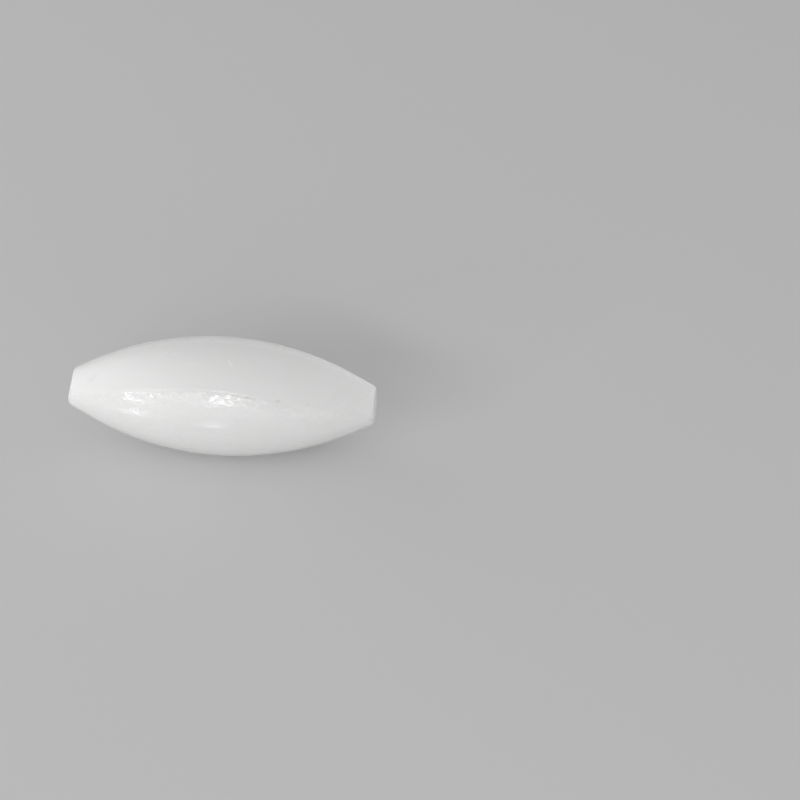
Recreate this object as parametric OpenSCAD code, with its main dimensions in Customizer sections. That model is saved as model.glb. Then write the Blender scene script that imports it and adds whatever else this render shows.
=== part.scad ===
// Magnetic stir bar of the olive pattern: a rod magnet sealed in one white PTFE jacket.
// Millimetres. The bar lies along X, +Z is up, and the origin is on its axis in the
// middle of the belly. Its square end faces +X and its trimmed end faces -X.

/* [Jacket] */
// Length on the axis, from the middle of one end face to the middle of the other
bar_len = 50; // [46:0.5:56]
// Diameter of the belly
belly_d = 19.3; // [18:0.1:21]
// Diameter where the taper meets the square end face
end_d = 6.1; // [5.6:0.1:7.5]
// Half angle of the straight taper at each end, in degrees
taper_angle = 26; // [24.5:0.5:28]
// Radius on the rim of the square end face
rim_r = 0.7; // [0.3:0.1:1.5]

/* [Trimmed end] */
// How much further the trimmed face lies from the middle of the belly than the square one
trim_offset = 0.4; // [0:0.1:1]
// Lean of the trimmed face off square, in degrees
trim_lean = 20; // [0:1:22]
// Turn of that lean about the axis, from the top of the bar towards -Y, in degrees
trim_turn = 27; // [-90:1:90]
// Radius on the rim of the trimmed face
trim_rim_r = 1.6; // [0.5:0.1:1.8]

/* [Magnet] */
// Diameter of the rod magnet
magnet_d = 9.5; // [7:0.1:10]
// Length of the rod magnet
magnet_len = 32; // [24:0.5:33]
// Chamfer ground on the rims of the magnet
magnet_chamfer = 0.5; // [0.2:0.1:1]
// Space left round the magnet by the moulding, on every side
magnet_gap = 0.05; // [0.02:0.01:0.2]

/* [Hidden] */
$fn = 180;

belly_r = belly_d / 2;
end_r = end_d / 2;
square_x = (bar_len - trim_offset) / 2;
trim_x = (bar_len + trim_offset) / 2;

// The belly's arc runs into the two straight tapers without a corner: its radius is
// the one at which the taper, drawn back from the square end, is tangent to it.
taper = tan(taper_angle);
arc_r = (end_r + taper * square_x - belly_r) / (taper * sin(taper_angle) - 1 + cos(taper_angle));
taper_x = arc_r * sin(taper_angle);
taper_r = belly_r - arc_r * (1 - cos(taper_angle));
// The tapers start this far inside the arc, so that line and arc cross and don't just touch.
let_in = 0.01;

// The trimmed face's flat, in the face's own plane: how far it reaches from the bar's
// axis to its recessed side and to its longest side, where the rim's rounding starts.
trim_r = end_r - taper * trim_offset;
trim_slope = taper * tan(trim_lean);
recessed_reach = trim_r / (1 - trim_slope) / cos(trim_lean)
    - trim_rim_r * tan((90 - taper_angle - trim_lean) / 2);
longest_reach = trim_r / (1 + trim_slope) / cos(trim_lean)
    - trim_rim_r * tan((90 - taper_angle + trim_lean) / 2);
flat_r = (recessed_reach + longest_reach) / 2;
flat_shift = (recessed_reach - longest_reach) / 2;
// Past its rounding the trimmed rim flares this much wider than the taper, in degrees.
flare_margin = 6;
trim_flare = taper_angle + trim_lean + flare_margin;
// Length of raw taper past the trimmed face, enough for the face's longest side
trim_spare = trim_r * tan(trim_lean) + 0.5;

// Points along an arc, from one angle to another
rim_steps = 8;
function arc_points(middle, r, from, to) = [
    for (i = [0:rim_steps])
        let (a = from + (to - from) * i / rim_steps)
        middle + r * [cos(a), sin(a)]
];

// Half outline of the bar as turned, before its left end is trimmed: the distance
// from the axis runs along X, and the axis runs along Y.
module turned_outline() {
    arc_x = (taper_x + square_x) / 2;
    raw_x = trim_x + trim_spare;
    rim_set = rim_r * tan((90 - taper_angle) / 2);
    intersection() {
        translate([belly_r - arc_r, 0]) circle(r = arc_r);
        translate([0, -arc_x]) square([belly_d, 2 * arc_x]);
    }
    polygon(concat(
        [
            [0, -raw_x],
            [trim_r - taper * trim_spare, -raw_x],
            [taper_r - let_in, -taper_x],
            [taper_r - let_in, taper_x],
        ],
        arc_points([end_r - rim_set, square_x - rim_r], rim_r, taper_angle, 90),
        [[0, square_x]]
    ));
}

// Half outline of the space on the bar's side of the trimmed face: the distance from
// the face's own axis runs along X, and the depth below the face runs along Y.
module trimmed_outline() {
    depth = bar_len;
    corner = arc_points([flat_r, trim_rim_r], trim_rim_r, -90, -trim_flare);
    last = corner[rim_steps];
    polygon(concat(
        [[0, depth], [0, 0]],
        corner,
        [[last[0] + (depth - last[1]) * tan(trim_flare), depth]]
    ));
}

// The same space in its place: turned about the bar, leaned, and set on the flat
module trimmed_side() {
    translate([-trim_x, 0, 0])
    rotate([trim_turn, 0, 0])
    rotate([0, trim_lean, 0])
    translate([0, 0, flat_shift])
    rotate([0, 90, 0])
    rotate_extrude() trimmed_outline();
}

// Rod magnet grown by a gap on every side, with its axis along X
module magnet_rod(gap) {
    rod_r = magnet_d / 2 + gap;
    rod_x = magnet_len / 2 + gap;
    cut = magnet_chamfer + gap * (2 - sqrt(2));
    rotate([0, 90, 0]) rotate_extrude() polygon([
        [0, -rod_x],
        [rod_r - cut, -rod_x],
        [rod_r, -rod_x + cut],
        [rod_r, rod_x - cut],
        [rod_r - cut, rod_x],
        [0, rod_x],
    ]);
}

// One moulding of PTFE, closed all round the magnet
module ptfe_jacket() {
    color([0.93, 0.93, 0.92]) difference() {
        intersection() {
            rotate([0, 90, 0]) rotate_extrude() turned_outline();
            trimmed_side();
        }
        magnet_rod(magnet_gap);
    }
}

// Cast Alnico rod, magnetised across its length
module magnet_core() {
    color([0.33, 0.32, 0.31]) magnet_rod(0);
}

ptfe_jacket();
magnet_core();
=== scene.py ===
"""Looks for the magnetic stir bar: one olive-shaped PTFE jacket over a hidden rod magnet."""

import math

import bpy
import numpy as np
from mathutils import Matrix, Vector


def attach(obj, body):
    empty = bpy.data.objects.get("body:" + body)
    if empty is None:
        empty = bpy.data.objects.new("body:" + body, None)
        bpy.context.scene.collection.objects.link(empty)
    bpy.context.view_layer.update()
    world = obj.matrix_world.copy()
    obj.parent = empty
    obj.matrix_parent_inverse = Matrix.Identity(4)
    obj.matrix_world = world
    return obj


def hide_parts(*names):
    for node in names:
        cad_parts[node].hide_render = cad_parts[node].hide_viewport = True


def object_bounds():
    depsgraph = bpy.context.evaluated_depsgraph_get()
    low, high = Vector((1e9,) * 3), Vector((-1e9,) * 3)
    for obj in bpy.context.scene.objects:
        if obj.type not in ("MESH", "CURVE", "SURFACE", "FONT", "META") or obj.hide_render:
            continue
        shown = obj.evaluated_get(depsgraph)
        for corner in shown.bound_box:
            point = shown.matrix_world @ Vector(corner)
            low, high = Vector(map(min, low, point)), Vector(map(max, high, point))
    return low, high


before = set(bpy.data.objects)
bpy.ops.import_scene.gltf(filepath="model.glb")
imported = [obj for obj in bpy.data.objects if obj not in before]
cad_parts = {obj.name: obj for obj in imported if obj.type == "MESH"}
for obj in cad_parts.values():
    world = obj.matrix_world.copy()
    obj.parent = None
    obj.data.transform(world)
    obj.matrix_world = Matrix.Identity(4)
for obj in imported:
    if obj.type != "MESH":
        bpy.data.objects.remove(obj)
cad_low, cad_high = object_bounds()

# a millimetre in metres: sizes here are in millimetres and degrees, unless a comment says metres
MM = 0.001

# ---------------------------------------------------------------- sizes, as in the CAD source
BELLY_D = 19.3
END_D = 6.1
BAR_LEN = 50.0
TRIM_OFFSET = 0.4
TAPER_ANGLE = 26.0
SQUARE_RIM_R = 0.7
TRIM_RIM_R = 1.6
TRIM_LEAN = 20.0
TRIM_TURN = 27.0

belly_r = BELLY_D / 2
end_r = END_D / 2
square_x = (BAR_LEN - TRIM_OFFSET) / 2
trim_x = (BAR_LEN + TRIM_OFFSET) / 2
alpha = math.radians(TAPER_ANGLE)
taper = math.tan(alpha)
arc_r = (end_r + taper * square_x - belly_r) / (taper * math.sin(alpha) - 1 + math.cos(alpha))
taper_x = arc_r * math.sin(alpha)
taper_r = belly_r - arc_r * (1 - math.cos(alpha))
trim_end_r = end_r - taper * TRIM_OFFSET
lean = math.tan(math.radians(TRIM_LEAN))
trim_ky = -lean * math.sin(math.radians(TRIM_TURN))
trim_kz = lean * math.cos(math.radians(TRIM_TURN))

# ---------------------------------------------------------------- surface features, as photographed
# The moulding seam: place along the axis (mm) and angle round it (degrees from +Y over the top).
SEAM = [
    (-25.5, 158.0), (-22.1, 153.3), (-19.8, 149.2), (-18.3, 147.0), (-15.8, 143.6), (-13.4, 140.9),
    (-9.7, 139.4), (-7.2, 138.9), (-4.0, 137.2), (-0.9, 136.8), (1.5, 137.2), (3.8, 138.2),
    (5.4, 139.4), (6.9, 140.6), (8.4, 141.2), (10.4, 141.8), (16.0, 142.6), (25.0, 143.0),
]
# the seam on the side turned away
BACK_SEAM = [
    (-25.5, 330.0), (-16.0, 323.0), (-6.0, 320.5), (4.0, 322.0), (14.0, 319.0), (25.0, 321.0),
]
# The columns' angles are counted from this one, and bend from there to follow both seams.
SEAM_ANGLE = 140.0
# the groove in the seam (mm), and the share of it along the bar
GROOVE_W = 0.12
GROOVE_DEPTH = 0.03
GROOVE_ALONG = [(-25.5, 0.6), (-14.0, 1.0), (9.5, 1.0), (12.5, 0.2), (25.0, 0.2)]
# The back seam is closed, and shows as a thin line of flash (mm).
BACK_FLASH = 0.05
BACK_FLASH_W = 0.14
# Below the seam the lower half runs up to it in a flat strip.
# This is where the strip leaves the round belly.
STRIP_END = [
    (-25.5, 162.0), (-21.2, 159.5), (-17.4, 155.5), (-10.9, 149.2), (-5.7, 146.5), (-2.0, 144.6),
    (1.4, 144.8), (3.5, 145.5), (6.5, 145.4), (11.5, 145.8), (16.7, 142.6), (25.0, 142.0),
]
# The share of the strip's edge that stands as a step over the upper half. The rest of it
# runs out in a slope. Then the widths of step and slope (mm).
STEP_SHARE = [
    (-25.5, 0.1), (-14.0, 0.25), (-4.0, 0.3), (1.0, 0.5),
    (3.0, 0.8), (9.0, 0.8), (12.0, 0.3), (17.0, 0.0),
]
STEP_W = 0.12
SLOPE_W = 2.2
# the thin ridge that runs just above the seam (mm), and the share of it along the bar
RIDGE_H = 0.02
RIDGE_W = 0.14
RIDGE_UP = 0.42
RIDGE_ALONG = [
    (-25.5, 0.2), (-16.0, 0.6), (-12.0, 1.0), (1.0, 1.0), (8.0, 0.7), (12.0, 0.0), (25.0, 0.0),
]

# Marks on the skin: place along the axis (mm), angle (degrees), length and width (mm), slant
# (degrees from the axis, towards the floor), rise (mm, below 0 is a dent) and tone (above 0 is
# whiter, below 0 is darker). The tone is mostly painted light: painted highlights on burrs, bumps
# and the scratch, painted shade in nicks, pits and dents.
MARKS = [
    # nicks and burrs in the seam, with painted shade in the nicks and painted highlights on the
    # burrs
    (-7.4, 139.0, 0.5, 0.26, 0, -0.06, -1.3),
    (-12.6, 139.2, 0.35, 0.22, 0, 0.03, 1.2),
    (-11.4, 138.6, 0.35, 0.2, 0, 0.02, 0.8),
    (3.5, 137.2, 1.3, 0.2, 4, 0.04, 2.5),
    (3.7, 138.2, 1.3, 0.18, 4, -0.07, -2.2),
    (5.3, 138.4, 0.6, 0.26, 0, 0.06, 3.0),
    (5.7, 139.7, 0.9, 0.22, 6, -0.08, -2.8),
    (6.6, 140.3, 0.9, 0.16, 6, -0.05, -1.6),
    (7.3, 141.4, 0.4, 0.26, 0, 0.05, 2.6),
    (8.5, 140.9, 0.4, 0.2, 8, -0.05, -1.2),
    (9.3, 141.2, 0.35, 0.2, 8, -0.05, -1.2),
    (10.4, 141.5, 0.6, 0.2, 10, -0.07, -2.6),
    # painted highlights on small bumps in the strip below it
    (6.0, 142.0, 0.5, 0.3, 0, 0.05, 2.2),
    (8.3, 143.1, 0.8, 0.35, 0, 0.02, 1.2),
    (5.7, 147.8, 0.4, 0.3, 0, 0.03, 1.5),
    (6.2, 147.0, 0.5, 0.5, 70, 0.01, 0.9),
    (6.9, 150.6, 0.4, 0.5, 70, 0.01, 0.9),
    # the short scratch near the top, with a painted highlight along it, and faint scuffs round it,
    # drawn whiter
    (2.55, 108.0, 1.5, 0.17, 48, -0.03, 2.2),
    (2.35, 106.2, 0.7, 0.16, 60, 0.0, 1.2),
    (-5.6, 85.5, 2.4, 0.2, 0, -0.02, 1.1),
    (-6.6, 98.6, 0.7, 0.25, 20, 0.0, 0.9),
    (-0.6, 91.0, 1.2, 0.3, 0, 0.0, 0.6),
    (-8.8, 100.5, 2.2, 0.4, -35, -0.01, 0.5),
    (-2.8, 111.3, 2.8, 0.5, 15, -0.01, 0.5),
    # the shallow dent by the trimmed end, with painted shade in and round it
    (-19.9, 122.5, 1.6, 0.7, -50, -0.02, -0.9),
    (-20.6, 126.0, 0.5, 0.4, 0, -0.02, -0.6),
    # small pits and specks towards the square end: painted shade in the pits, painted highlights on
    # the raised specks
    (23.4, 110.9, 0.35, 0.3, 0, 0.03, 1.6),
    (23.7, 113.5, 0.3, 0.25, 0, -0.03, -0.8),
    (18.8, 132.2, 0.5, 0.3, 0, -0.03, -0.9),
    (20.4, 136.1, 0.4, 0.3, 0, 0.02, 0.7),
    (21.2, 133.0, 0.35, 0.3, 0, 0.02, 0.8),
    (20.2, 143.1, 0.6, 0.4, 0, 0.01, 0.7),
    (21.8, 154.6, 0.5, 0.4, 30, -0.03, -0.7),
    (22.0, 157.0, 0.3, 0.3, 0, 0.02, 0.6),
    (18.3, 159.7, 0.5, 0.35, 0, 0.02, 0.6),
    (14.9, 143.6, 0.4, 0.4, 0, -0.02, -0.6),
    (17.0, 151.1, 0.5, 0.3, 0, -0.02, -0.5),
    (12.6, 157.4, 0.8, 0.3, 10, 0.01, 0.7),
    # the nick in the square end's rim, with painted shade in it and painted highlights on its
    # raised edges
    (24.15, 169.9, 0.4, 0.35, 0, 0.05, 1.6),
    (24.45, 190.0, 1.3, 0.3, 55, -0.1, -1.2),
    (24.5, 176.5, 0.35, 0.25, 0, 0.03, 0.8),
    # a small pit low on the belly's left, with painted shade in it
    (-12.0, 161.7, 0.35, 0.35, 0, -0.04, -0.5),
]
# how far in from its own radius a mark reaches, so that one on a rim stays off the end face (mm)
MARK_REACH = 0.9
# and how far round the bar, so that it stays off the far side (mm)
MARK_ROUND = 6.0
# Specks scattered over the whole bar: how many, and the ranges of their values, as in MARKS.
SPECKS = 45
SPECK_SEED = 7
SPECK_X = (-24, 24)
SPECK_ANGLE = (0, 360)
SPECK_LENGTH = (0.25, 0.6)
SPECK_WIDTH = (0.2, 0.35)
SPECK_SLANT = (-60, 60)
SPECK_RISES = [-0.008, 0.006]
SPECK_TONE = (-0.25, 0.25)

# The moulded grain: its share on the upper half, and what the lower half and the strip add
GRAIN = 0.16
GRAIN_LOWER = 0.42
GRAIN_STRIP = 0.5
# the share of all grain that the end faces keep
GRAIN_ON_FACE = 0.25
# how softly the grain changes at the seam, at the back seam and at the strip's end (mm)
SEAM_EDGE = 0.1
BACK_SEAM_EDGE = 0.12
STRIP_EDGE = 0.25
# the slant of its streaks (degrees from the axis), and how much longer than wide they are
GRAIN_SLANT = 26.0
STREAK_STRETCH = 2.5
# its layers of noise: size of the lumps (mm) and seed
SWELLS = (1.3, 11)
STREAKS = (0.22, 61)
BACK_STREAKS = (0.5, 37)
LUMPS = (0.28, 23)
FLECKS = (0.2, 53)
# the layers' heights (mm)
SWELL_H = 0.006
STREAK_H = 0.022
LUMP_H = 0.013
# The grain's tone, part painted light and part random: its share on the upper half, what the lower
# half and the strip add, and how much of it follows the streaks (painted highlight on the raised
# ones, painted shade in the sunken ones) and the flecks (random)
TONE = 0.05
TONE_LOWER = 0.25
TONE_STRIP = 0.7
PAINTED_LIGHT_OF_STREAKS = 0.7
TONE_OF_FLECKS = 0.7

# ---------------------------------------------------------------- the mesh
COLUMNS = 228
BARREL_ROWS = 398
SQUARE_RIM_ROWS = 9
TRIM_RIM_ROWS = 14
FACE_RINGS = 5
# How much closer columns stand on the front, on the strip (with the strip's middle and half
# width, in radians from the seam) and at the back seam (with its half width)
FRONT_CROWD = 2.0
STRIP_CROWD, STRIP_MIDDLE, STRIP_HALF = 4.2, 0.06, 0.18
BACK_CROWD, BACK_HALF = 3.0, 0.04
ANGLE_STEPS = 4001
# how much closer rows stand at the middle of the bar
ROW_CROWD = 0.22
# Near an end the columns leave the seams, over this many rows, for the angles that they keep
# round the rim: those of the seams at this share of the way to the end face.
SETTLE_ROWS = 12
SETTLE_AT = 0.96

# the mixing numbers of the noise's hash
HASH_X, HASH_Y, HASH_Z = 374761393, 668265263, 2147483647
HASH_MIX = 1274126177
HASH_MASK = 0xFFFFFFFF


def smooth_curve(table, at):
    """A smooth curve through the table's points (Catmull-Rom on uneven steps)."""
    xs = np.array([p[0] for p in table])
    ys = np.array([p[1] for p in table])
    slope = np.gradient(ys, xs)
    i = np.clip(np.searchsorted(xs, at) - 1, 0, len(xs) - 2)
    step = xs[i + 1] - xs[i]
    t = np.clip((at - xs[i]) / step, 0, 1)
    a = 2 * t**3 - 3 * t**2 + 1
    b = t**3 - 2 * t**2 + t
    c = -2 * t**3 + 3 * t**2
    d = t**3 - t**2
    return a * ys[i] + b * step * slope[i] + c * ys[i + 1] + d * step * slope[i + 1]


def hashed(ix, iy, iz, seed):
    """A repeatable number from 0 to 1 for each lattice cell."""
    h = (ix * HASH_X + iy * HASH_Y + iz * HASH_Z + seed * HASH_MIX) & HASH_MASK
    h = ((h ^ (h >> 13)) * HASH_MIX) & HASH_MASK
    h = (h ^ (h >> 16)) & HASH_MASK
    return h / float(HASH_MASK)


def value_noise(p, size, seed):
    """Smooth noise from -1 to 1 at the points p, with lumps of that size."""
    q = p / size
    base = np.floor(q).astype(np.int64)
    f = q - base
    f = f * f * f * (f * (f * 6 - 15) + 10)
    total = np.zeros(len(p))
    for dx in (0, 1):
        for dy in (0, 1):
            for dz in (0, 1):
                w = (
                    (f[:, 0] if dx else 1 - f[:, 0])
                    * (f[:, 1] if dy else 1 - f[:, 1])
                    * (f[:, 2] if dz else 1 - f[:, 2])
                )
                total += w * hashed(base[:, 0] + dx, base[:, 1] + dy, base[:, 2] + dz, seed)
    return total * 2 - 1


def barrel_radius(x):
    """The plain bar's radius at x: an arc over the belly, a straight taper to each end."""
    ax = np.abs(x)
    arc = belly_r - arc_r + np.sqrt(np.maximum(arc_r**2 - ax**2, 0))
    return np.where(ax < taper_x, arc, taper_r - taper * (ax - taper_x))


def barrel_normal(x, phi):
    """The plain bar's outward normal at x and angle phi."""
    s = np.where(np.abs(x) < taper_x, x / arc_r, np.sign(x) * math.sin(alpha))
    c = np.sqrt(1 - s * s)
    return np.stack([s, c * np.cos(phi), c * np.sin(phi)], axis=-1)


def rim(side, middle_x, end_radius, rim_r, ky, kz, phi, blend):
    """Points and normals of a rolling-ball rim between the taper and an end face.

    blend is 0 where the rim meets the taper and 1 where it meets the face."""
    s = math.sqrt(1 + ky * ky + kz * kz)
    m = ky * np.cos(phi) + kz * np.sin(phi)
    rho = (end_radius + taper * rim_r * s - rim_r / math.cos(alpha)) / (1 - taper * m)
    t = m * rho + rim_r * s
    x = side * (middle_x - t)
    centre = np.stack([x, rho * np.cos(phi), rho * np.sin(phi)], axis=-1)
    n_cone = np.stack(
        [
            np.full_like(phi, side * math.sin(alpha)),
            math.cos(alpha) * np.cos(phi),
            math.cos(alpha) * np.sin(phi),
        ],
        axis=-1,
    )
    n_face = np.array([side, ky, kz]) / s
    angle = np.arccos(np.clip(n_cone @ n_face, -1, 1))[:, None]
    n = (np.sin((1 - blend) * angle) * n_cone + np.sin(blend * angle) * n_face) / np.sin(angle)
    return centre + rim_r * n, n


# ---------------------------------------------------------------- the jacket's grid of points
def column_places():
    """Each column's angle from the seam: closest on the strip, close at both seams and in front."""
    angle = np.linspace(-math.pi, math.pi, ANGLE_STEPS)
    crowd = 1.0 + FRONT_CROWD * np.cos(angle / 2) ** 2
    crowd += STRIP_CROWD * np.exp(-(((angle - STRIP_MIDDLE) / STRIP_HALF) ** 4))
    crowd += BACK_CROWD * np.exp(-(((np.abs(angle) - math.pi) / BACK_HALF) ** 2))
    total = np.concatenate([[0.0], np.cumsum((crowd[1:] + crowd[:-1]) / 2)])
    return np.interp((np.arange(COLUMNS) + 0.5) / COLUMNS * total[-1], total, angle)


column = column_places()
near_front = np.cos(column / 2) ** 2


def column_angle(x):
    """The angle phi of each column at x (one x per column): columns follow both seams."""
    front = smooth_curve(SEAM, x) - SEAM_ANGLE
    back = smooth_curve(BACK_SEAM, x) - SEAM_ANGLE - 180
    return np.radians(SEAM_ANGLE + near_front * front + (1 - near_front) * back) + column


def settle(end):
    """The angles that the columns keep round one end, and the points where its taper stops."""
    side, middle_x = end[:2]
    phi = column_angle(np.full(COLUMNS, side * middle_x * SETTLE_AT))
    return phi, rim(*end, phi, 0.0)[0]


# each end as rim() takes it: side, middle of the face, radius, rim's radius, and the face's lean
square_end = (1, square_x, end_r, SQUARE_RIM_R, 0.0, 0.0)
trim_end = (-1, trim_x, trim_end_r, TRIM_RIM_R, trim_ky, trim_kz)
square_phi, square_edge = settle(square_end)
trim_phi, trim_edge = settle(trim_end)

rows, row_normals, row_phi, on_face = [], [], [], []


def add_row(points, normals, phi, face):
    rows.append(points)
    row_normals.append(normals)
    row_phi.append(phi)
    on_face.append(np.full(COLUMNS, float(face)))


def add_face(side, edge, normal, phi, inward):
    """Rings from the rim to the middle of an end face, or back out from it."""
    middle = edge.mean(axis=0)
    steps = [(k + 1) / (FACE_RINGS + 1) for k in range(FACE_RINGS)]
    for f in steps if not inward else reversed(steps):
        add_row(middle + f * (edge - middle), np.tile(normal, (COLUMNS, 1)), phi, side)
    return middle


square_top = rim(*square_end, square_phi, 1.0)[0]
square_n = np.array([1.0, 0.0, 0.0])
square_middle = add_face(1, square_top, square_n, square_phi, False)
for k in range(SQUARE_RIM_ROWS):
    p, n = rim(*square_end, square_phi, 1 - k / SQUARE_RIM_ROWS)
    add_row(p, n, square_phi, 0)
for k in range(BARREL_ROWS + 1):
    f = k / BARREL_ROWS
    g = f + ROW_CROWD * math.sin(2 * math.pi * f) / (2 * math.pi)
    x = square_edge[:, 0] + g * (trim_edge[:, 0] - square_edge[:, 0])
    free = min(f, 1 - f) * BARREL_ROWS / SETTLE_ROWS
    w = 1.0 if free >= 1 else free * free * (3 - 2 * free)
    phi = column_angle(x) * w + (square_phi if f < 0.5 else trim_phi) * (1 - w)
    r = barrel_radius(x)
    add_row(np.stack([x, r * np.cos(phi), r * np.sin(phi)], axis=-1), barrel_normal(x, phi), phi, 0)
for k in range(TRIM_RIM_ROWS):
    p, n = rim(*trim_end, trim_phi, (k + 1) / TRIM_RIM_ROWS)
    add_row(p, n, trim_phi, 0)
trim_n = np.array([-1.0, trim_ky, trim_kz]) / math.sqrt(1 + trim_ky**2 + trim_kz**2)
trim_middle = add_face(-1, rows[-1], trim_n, trim_phi, True)

points = np.concatenate(rows)
normals = np.concatenate(row_normals)
phis = np.concatenate(row_phi)
face_side = np.concatenate(on_face)
row_count = len(rows)
across = np.tile(column, row_count)
radius_here = np.hypot(points[:, 1], points[:, 2])
from_seam = across * radius_here
from_back = (np.abs(across) - math.pi) * radius_here

# ---------------------------------------------------------------- relief, in mm along the normal
x = points[:, 0]
on_skin = np.where(face_side == 0, 1.0, GRAIN_ON_FACE)
strip_angle = np.radians(np.maximum(smooth_curve(STRIP_END, x) - smooth_curve(SEAM, x), 0))
strip_top = radius_here * (1 / np.cos(strip_angle) - 1)
strip_form = radius_here * (1 / np.cos(np.clip(strip_angle - across, 0, 1)) - 1)
step_share = smooth_curve(STEP_SHARE, x)
step_form = step_share * np.clip(1 + from_seam / STEP_W, 0, 1)
slope_form = (1 - step_share) * np.clip(1 + from_seam / SLOPE_W, 0, 1) ** 2
rise = np.where(from_seam > 0, strip_form, strip_top * (step_form + slope_form))
rise += RIDGE_H * smooth_curve(RIDGE_ALONG, x) * np.exp(-(((from_seam + RIDGE_UP) / RIDGE_W) ** 2))
rise -= GROOVE_DEPTH * smooth_curve(GROOVE_ALONG, x) * np.exp(-((from_seam / GROOVE_W) ** 2))
rise += BACK_FLASH * np.exp(-((from_back / BACK_FLASH_W) ** 2))
# none of it crosses the end faces
rise *= face_side == 0

# The half below the seams is the grainier one, and its strip the most.
# The grain runs slantwise in short streaks.
front_step = 1 / (1 + np.exp(-from_seam / SEAM_EDGE))
back_step = 1 / (1 + np.exp(-from_back / BACK_SEAM_EDGE))
lower_half = np.where(np.abs(across) < math.pi / 2, front_step, 1 - back_step)
strip_w = strip_angle * radius_here
# the limits only keep exp within range
past_strip = np.clip((from_seam - strip_w) / STRIP_EDGE, -50, 50)
on_strip = front_step / (1 + np.exp(past_strip)) * np.clip(strip_w, 0, 1)
grain = GRAIN + GRAIN_LOWER * lower_half + GRAIN_STRIP * on_strip
slant = math.radians(GRAIN_SLANT)
along = x * math.cos(slant) + from_seam * math.sin(slant)
aside = -x * math.sin(slant) + from_seam * math.cos(slant)
sheet = np.stack([along / STREAK_STRETCH, aside, np.zeros_like(x)], axis=-1)
in_front = np.cos(across / 2) ** 2
streaks = in_front * value_noise(sheet, *STREAKS)
streaks += (1 - in_front) * value_noise(points, *BACK_STREAKS)
swells = value_noise(points, *SWELLS)
lumps = value_noise(points, *LUMPS)
rise += on_skin * grain * (SWELL_H * swells + STREAK_H * streaks + LUMP_H * lumps)

# The tone follows the streaks of the relief, whiter where raised and darker where sunken, most on
# the strip where the highlights fall: painted highlight and painted shade. The flecks add a tone
# that differs at random.
flecks = value_noise(points, *FLECKS)
tone_and_painted_light = TONE + TONE_LOWER * lower_half + TONE_STRIP * on_strip
tone_and_painted_light *= on_skin * (PAINTED_LIGHT_OF_STREAKS * streaks + TONE_OF_FLECKS * flecks)


def mark(at_x, at_angle, length, width, slant_angle, height, tint_and_painted_light):
    """The rise and tone of one dent, burr or scuff: a soft-edged oval on the skin. Its tone carries
    the marks' painted highlights and painted shade, and the specks' random tone.
    """
    around = np.angle(np.exp(1j * (phis - math.radians(at_angle)))) * radius_here
    turn_by = math.radians(slant_angle)
    du = (x - at_x) * math.cos(turn_by) + around * math.sin(turn_by)
    dv = -(x - at_x) * math.sin(turn_by) + around * math.cos(turn_by)
    inward = radius_here - barrel_radius(at_x)
    g = np.exp(-((2 * du / length) ** 4) - (2 * dv / width) ** 2 - (inward / MARK_REACH) ** 4)
    g *= np.abs(around) < MARK_ROUND
    return height * g, tint_and_painted_light * g


chance = np.random.default_rng(SPECK_SEED)
specks = [
    (
        chance.uniform(*SPECK_X),
        chance.uniform(*SPECK_ANGLE),
        chance.uniform(*SPECK_LENGTH),
        chance.uniform(*SPECK_WIDTH),
        chance.uniform(*SPECK_SLANT),
        chance.choice(SPECK_RISES),
        chance.uniform(*SPECK_TONE),
    )
    for _ in range(SPECKS)
]
# The marks' tone is mostly painted light: highlights on burrs and bumps, shade in nicks, pits and
# dents. The specks' tone is random.
for values in MARKS + specks:
    lift, tint_and_painted_light = mark(*values)
    rise += lift
    tone_and_painted_light += tint_and_painted_light

points = points + normals * rise[:, None]


def build_mesh(name, pts, caps):
    """A closed skin from the grid of points and the two middle points of the end faces."""
    n_rows = len(pts) // COLUMNS
    verts = np.concatenate([pts, np.array(caps)]) * MM
    i = np.arange(n_rows - 1)[:, None]
    j = np.arange(COLUMNS)[None, :]
    jn = (j + 1) % COLUMNS
    here, above = i * COLUMNS, (i + 1) * COLUMNS
    quads = np.stack([here + j, here + jn, above + jn, above + j], axis=-1).reshape(-1, 4)
    first, last = n_rows * COLUMNS, n_rows * COLUMNS + 1
    ring = np.arange(COLUMNS)
    nxt = (ring + 1) % COLUMNS
    end = (n_rows - 1) * COLUMNS
    cap_a = np.stack([np.full(COLUMNS, first), nxt, ring], axis=-1)
    cap_b = np.stack([np.full(COLUMNS, last), end + ring, end + nxt], axis=-1)
    mesh = bpy.data.meshes.new(name)
    mesh.from_pydata(verts.tolist(), [], quads.tolist() + cap_a.tolist() + cap_b.tolist())
    mesh.polygons.foreach_set("use_smooth", [True] * len(mesh.polygons))
    mesh.update()
    return mesh


mesh = build_mesh("Jacket_shell", points, [square_middle, trim_middle])
jacket = bpy.data.objects.new("Jacket_shell", mesh)
bpy.context.scene.collection.objects.link(jacket)
for label, values in (("tone_and_painted_light", tone_and_painted_light), ("grain", grain)):
    layer = mesh.attributes.new(label, "FLOAT", "POINT")
    layer.data.foreach_set("value", np.concatenate([values, [0.0, 0.0]]).astype(np.float32))

# ---------------------------------------------------------------- materials


def new_material(name):
    material = bpy.data.materials.new(name)
    material.use_nodes = True
    return material, material.node_tree.nodes, material.node_tree.links


def fill(made, **values):
    """Sets a node's own settings, and its input sockets by name, with _ for a space."""
    for key, value in values.items():
        if hasattr(made, key):
            setattr(made, key, value)
        else:
            made.inputs[key.replace("_", " ")].default_value = value
    return made


def node(nodes, kind, **values):
    return fill(nodes.new(kind), **values)


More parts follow.
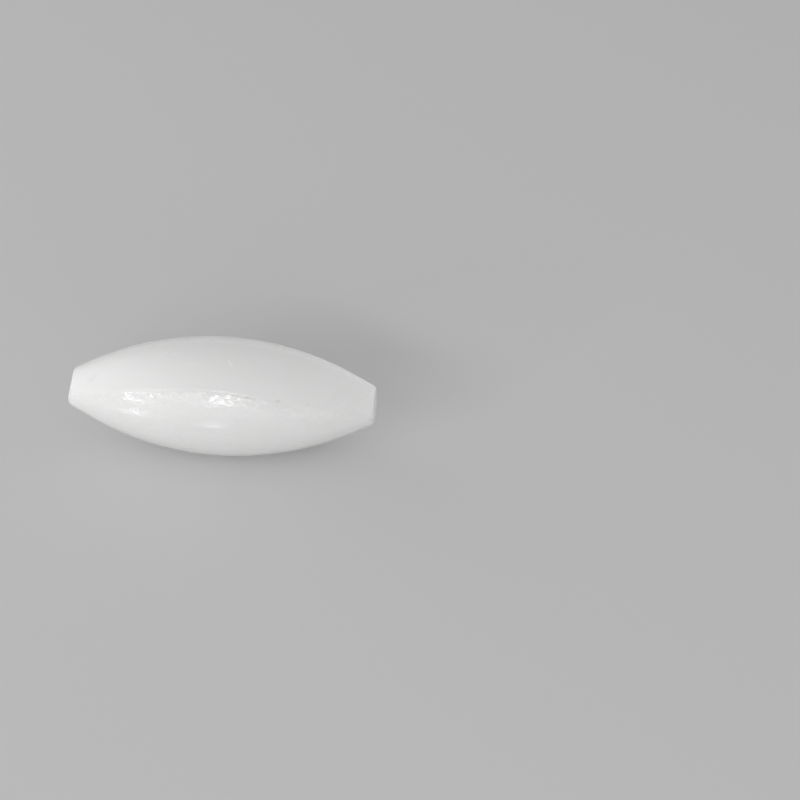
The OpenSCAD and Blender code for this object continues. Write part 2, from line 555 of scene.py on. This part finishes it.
def multiply_add(nodes, links, value, factor, addend):
    """The output of value * factor + addend, where addend is a number or another output."""
    made = node(nodes, "ShaderNodeMath", operation="MULTIPLY_ADD")
    links.new(value, made.inputs[0])
    made.inputs[1].default_value = factor
    if isinstance(addend, float):
        made.inputs[2].default_value = addend
    else:
        links.new(addend, made.inputs[2])
    return made.outputs["Value"]


# PTFE: the two ends of its cloudiness, what one unit of tone does to the colour, the roughness
# without grain, what the grain and the patches add to it, and the bump's depth (m)
PTFE_DARK = (0.865, 0.865, 0.86, 1)
PTFE_LIGHT = (0.88, 0.88, 0.876, 1)
TONE_STEP = 0.06
ROUGHNESS = 0.19
ROUGHNESS_OF_GRAIN = -0.09
ROUGHNESS_OF_PATCHES = 0.04
BUMP_DEPTH = 0.00005


def ptfe():
    """White sintered PTFE: waxy, lets a little light in, fine moulded grain, satin gloss."""
    material, nodes, links = new_material("PTFE_white")
    shader = fill(
        nodes["Principled BSDF"],
        IOR=1.38,
        Subsurface_Weight=1.0,
        Subsurface_Radius=(1.0, 1.0, 0.95),
        Subsurface_Scale=0.0009,
    )
    place = nodes.new("ShaderNodeTexCoord")

    # colour: a faint cloudiness, and the tone: painted highlights and painted shade from the marks
    # and the grain's streaks, with a random tone from the flecks and specks
    cloud = node(nodes, "ShaderNodeTexNoise", Scale=90.0, Detail=2.0)
    links.new(place.outputs["Object"], cloud.inputs["Vector"])
    ramp = nodes.new("ShaderNodeValToRGB")
    ramp.color_ramp.elements[0].position = 0.3
    ramp.color_ramp.elements[0].color = PTFE_DARK
    ramp.color_ramp.elements[1].position = 0.7
    ramp.color_ramp.elements[1].color = PTFE_LIGHT
    links.new(cloud.outputs["Fac"], ramp.inputs["Fac"])
    spot = node(nodes, "ShaderNodeAttribute", attribute_name="tone_and_painted_light")
    level = multiply_add(nodes, links, spot.outputs["Fac"], TONE_STEP, 1.0)
    spotted = node(nodes, "ShaderNodeVectorMath", operation="SCALE")
    links.new(ramp.outputs["Color"], spotted.inputs[0])
    links.new(level, spotted.inputs["Scale"])
    links.new(spotted.outputs["Vector"], shader.inputs["Base Color"])

    # gloss: patchy, and duller where there is less grain
    patch = node(nodes, "ShaderNodeTexNoise", Scale=700.0, Detail=2.0)
    links.new(place.outputs["Object"], patch.inputs["Vector"])
    grained = node(nodes, "ShaderNodeAttribute", attribute_name="grain")
    dull = multiply_add(nodes, links, grained.outputs["Fac"], ROUGHNESS_OF_GRAIN, ROUGHNESS)
    gloss = multiply_add(nodes, links, patch.outputs["Fac"], ROUGHNESS_OF_PATCHES, dull)
    links.new(gloss, shader.inputs["Roughness"])

    # the finest grain, too small for the mesh
    small = node(nodes, "ShaderNodeTexNoise", Scale=3200.0, Detail=1.0, Roughness=0.5)
    links.new(place.outputs["Object"], small.inputs["Vector"])
    bump = node(nodes, "ShaderNodeBump", Strength=0.35, Distance=BUMP_DEPTH)
    links.new(small.outputs["Fac"], bump.inputs["Height"])
    links.new(bump.outputs["Normal"], shader.inputs["Normal"])
    return material


ALNICO_DARK = (0.2, 0.19, 0.18, 1)
ALNICO_LIGHT = (0.34, 0.33, 0.32, 1)


def alnico():
    """Cast Alnico: dull grey metal with a coarse grain."""
    material, nodes, links = new_material("Alnico_cast")
    shader = fill(nodes["Principled BSDF"], Metallic=1.0, Roughness=0.5)
    place = nodes.new("ShaderNodeTexCoord")
    cells = node(nodes, "ShaderNodeTexNoise", Scale=900.0, Detail=4.0)
    links.new(place.outputs["Object"], cells.inputs["Vector"])
    ramp = nodes.new("ShaderNodeValToRGB")
    ramp.color_ramp.elements[0].color = ALNICO_DARK
    ramp.color_ramp.elements[1].color = ALNICO_LIGHT
    links.new(cells.outputs["Fac"], ramp.inputs["Fac"])
    links.new(ramp.outputs["Color"], shader.inputs["Base Color"])
    bump = node(nodes, "ShaderNodeBump", Strength=0.6, Distance=BUMP_DEPTH)
    links.new(cells.outputs["Fac"], bump.inputs["Height"])
    links.new(bump.outputs["Normal"], shader.inputs["Normal"])
    return material


mesh.materials.append(ptfe())
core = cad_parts["magnet_core"]
core.data.materials.clear()
core.data.materials.append(alnico())

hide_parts("ptfe_jacket")
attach(jacket, "root")

# ---------------------------------------------------------------- stage
FLOOR_Z = cad_low.z
FLOOR_REACH = 3.0
# what the floor throws up at the bar, and the paler tone that the camera and reflections see
FLOOR_TONE = (0.68, 0.68, 0.68, 1)
FLOOR_SEEN = (0.83, 0.83, 0.83, 1)
# the level at which the camera sees the backdrop, and the world's light on the bar
BACKDROP = 0.5
WORLD_LIGHT = 0.415
# Between these distances from the bar (m) the floor turns into the backdrop, with no line
# between them. The photograph's view ends nearer than that.
SWEEP_START = 0.27
SWEEP_END = 0.75
WHITE = (1, 1, 1, 1)


def floor_pale():
    """A plain pale floor, which runs on into the backdrop far from the bar."""
    material, nodes, links = new_material("Floor_pale")
    light_path = nodes.new("ShaderNodeLightPath")
    is_camera = light_path.outputs["Is Camera Ray"]

    seen = node(nodes, "ShaderNodeMath", operation="ADD", use_clamp=True)
    links.new(is_camera, seen.inputs[0])
    links.new(light_path.outputs["Is Glossy Ray"], seen.inputs[1])
    tones = node(nodes, "ShaderNodeMixRGB", Color1=FLOOR_TONE, Color2=FLOOR_SEEN)
    links.new(seen.outputs["Value"], tones.inputs["Fac"])
    shader = fill(nodes["Principled BSDF"], Roughness=0.6)
    links.new(tones.outputs["Color"], shader.inputs["Base Color"])

    place = nodes.new("ShaderNodeTexCoord")
    away = node(nodes, "ShaderNodeVectorMath", operation="LENGTH")
    links.new(place.outputs["Object"], away.inputs[0])
    sweep = node(
        nodes,
        "ShaderNodeMapRange",
        interpolation_type="SMOOTHSTEP",
        From_Min=SWEEP_START,
        From_Max=SWEEP_END,
    )
    links.new(away.outputs["Value"], sweep.inputs["Value"])
    share = node(nodes, "ShaderNodeMath", operation="MULTIPLY")
    links.new(sweep.outputs["Result"], share.inputs[0])
    links.new(is_camera, share.inputs[1])

    backdrop = node(nodes, "ShaderNodeEmission", Color=WHITE, Strength=BACKDROP)
    either = nodes.new("ShaderNodeMixShader")
    links.new(share.outputs["Value"], either.inputs["Fac"])
    links.new(shader.outputs["BSDF"], either.inputs[1])
    links.new(backdrop.outputs["Emission"], either.inputs[2])
    links.new(either.outputs["Shader"], nodes["Material Output"].inputs["Surface"])
    return material


corners = [(-1, -1), (1, -1), (1, 1), (-1, 1)]
floor_mesh = bpy.data.meshes.new("Floor")
floor_mesh.from_pydata(
    [(FLOOR_REACH * cx, FLOOR_REACH * cy, FLOOR_Z) for cx, cy in corners], [], [(0, 1, 2, 3)]
)
floor_mesh.materials.append(floor_pale())
floor = bpy.data.objects.new("Floor", floor_mesh)
bpy.context.scene.collection.objects.link(floor)

world = bpy.data.worlds.new("Studio")
bpy.context.scene.world = world
world.use_nodes = True
world_nodes, world_links = world.node_tree.nodes, world.node_tree.links
world_light = fill(world_nodes["Background"], Color=WHITE, Strength=WORLD_LIGHT)
world_seen = node(world_nodes, "ShaderNodeBackground", Color=WHITE, Strength=BACKDROP)
seen_by = world_nodes.new("ShaderNodeLightPath")
either = world_nodes.new("ShaderNodeMixShader")
world_links.new(seen_by.outputs["Is Camera Ray"], either.inputs["Fac"])
world_links.new(world_light.outputs["Background"], either.inputs[1])
world_links.new(world_seen.outputs["Background"], either.inputs[2])
world_links.new(either.outputs["Shader"], world_nodes["World Output"].inputs["Surface"])


def lamp(name, azimuth, elevation, distance, width, height, power):
    """A soft lamp, aimed at the bar. Azimuth is from -Y towards +X, in degrees.

    Distance, width and height are in metres, and power in watts."""
    data = bpy.data.lights.new(name, "AREA")
    data.shape = "RECTANGLE"
    data.size = width
    data.size_y = height
    data.energy = power
    made = bpy.data.objects.new(name, data)
    bpy.context.scene.collection.objects.link(made)
    a, e = math.radians(azimuth), math.radians(elevation)
    back = Vector((math.sin(a) * math.cos(e), -math.cos(a) * math.cos(e), math.sin(e)))
    made.location = back * distance
    made.rotation_euler = back.to_track_quat("Z", "Y").to_euler()
    made.visible_camera = False
    return made


lamp("Front_low", 0, 8, 1.0, 1.6, 0.3, 2.1)
lamp("Front_strip", -26, 27, 0.9, 1.0, 0.12, 1.9)
lamp("Key_left", -43, 12.5, 0.8, 0.045, 0.055, 0.16)
lamp("Back_left", -115, 20, 0.9, 0.7, 0.7, 0.7)
lamp("Back_low", 175, 9, 1.0, 1.6, 0.3, 0.5)

# These light the bar alone. Sparks sharpen the two highlights in the strip. Glints are the
# studio's lamps as the photograph's glossy table mirrors them. Glows are the light that the
# white bars beside this one throw on it.
bar_alone = bpy.data.collections.new("Bar_alone")
bar_alone.objects.link(jacket)
glints = [
    lamp("Spark_left", -43, 12.5, 0.8, 0.025, 0.025, 0.42),
    lamp("Spark_front", -7.5, 28, 0.8, 0.03, 0.03, 0.75),
    lamp("Glint_left", -42.6, -12.6, 0.8, 0.022, 0.1, 0.58),
    lamp("Glint_front", -11, -17, 0.8, 0.04, 0.08, 0.17),
    lamp("Glint_end", -62, -6, 0.8, 0.3, 0.12, 0.35),
]
glows = [
    lamp("Glow_right", 125, 20, 0.07, 0.03, 0.03, 0.0092),
    lamp("Glow_end", 75, 12, 0.08, 0.03, 0.03, 0.0021),
    lamp("Glow_left", -70, 35, 0.08, 0.03, 0.03, 0.0093),
]
for own in glints + glows:
    own.light_linking.receiver_collection = bar_alone
    own.light_linking.blocker_collection = bar_alone
for glint in glints:
    glint.visible_diffuse = False
for glow in glows:
    glow.visible_glossy = False

# ---------------------------------------------------------------- camera, fitted to the photograph
# its place (mm), its own right and up, and its lens (mm)
CAMERA_AT = (38.3588, -144.4379, 122.2995)
CAMERA_RIGHT = (0.996802, 0.078492, 0.01512)
CAMERA_UP = (-0.061873, 0.637986, 0.767552)
CAMERA_LENS = 52.98
right = Vector(CAMERA_RIGHT).normalized()
up = (Vector(CAMERA_UP) - right * Vector(CAMERA_UP).dot(right)).normalized()
back = right.cross(up)
camera_data = bpy.data.cameras.new("Camera")
camera_data.lens = CAMERA_LENS
camera_data.sensor_width = 36.0
camera_data.clip_start = 0.01
camera_data.clip_end = 20.0
camera = bpy.data.objects.new("Camera", camera_data)
bpy.context.scene.collection.objects.link(camera)
pose = Matrix((right, up, back)).transposed().to_4x4()
pose.translation = Vector(CAMERA_AT) * MM
camera.matrix_world = pose
bpy.context.scene.camera = camera
bpy.context.scene.view_settings.view_transform = "Standard"
bpy.context.scene.cycles.use_denoising = True

bpy.context.view_layer.update()
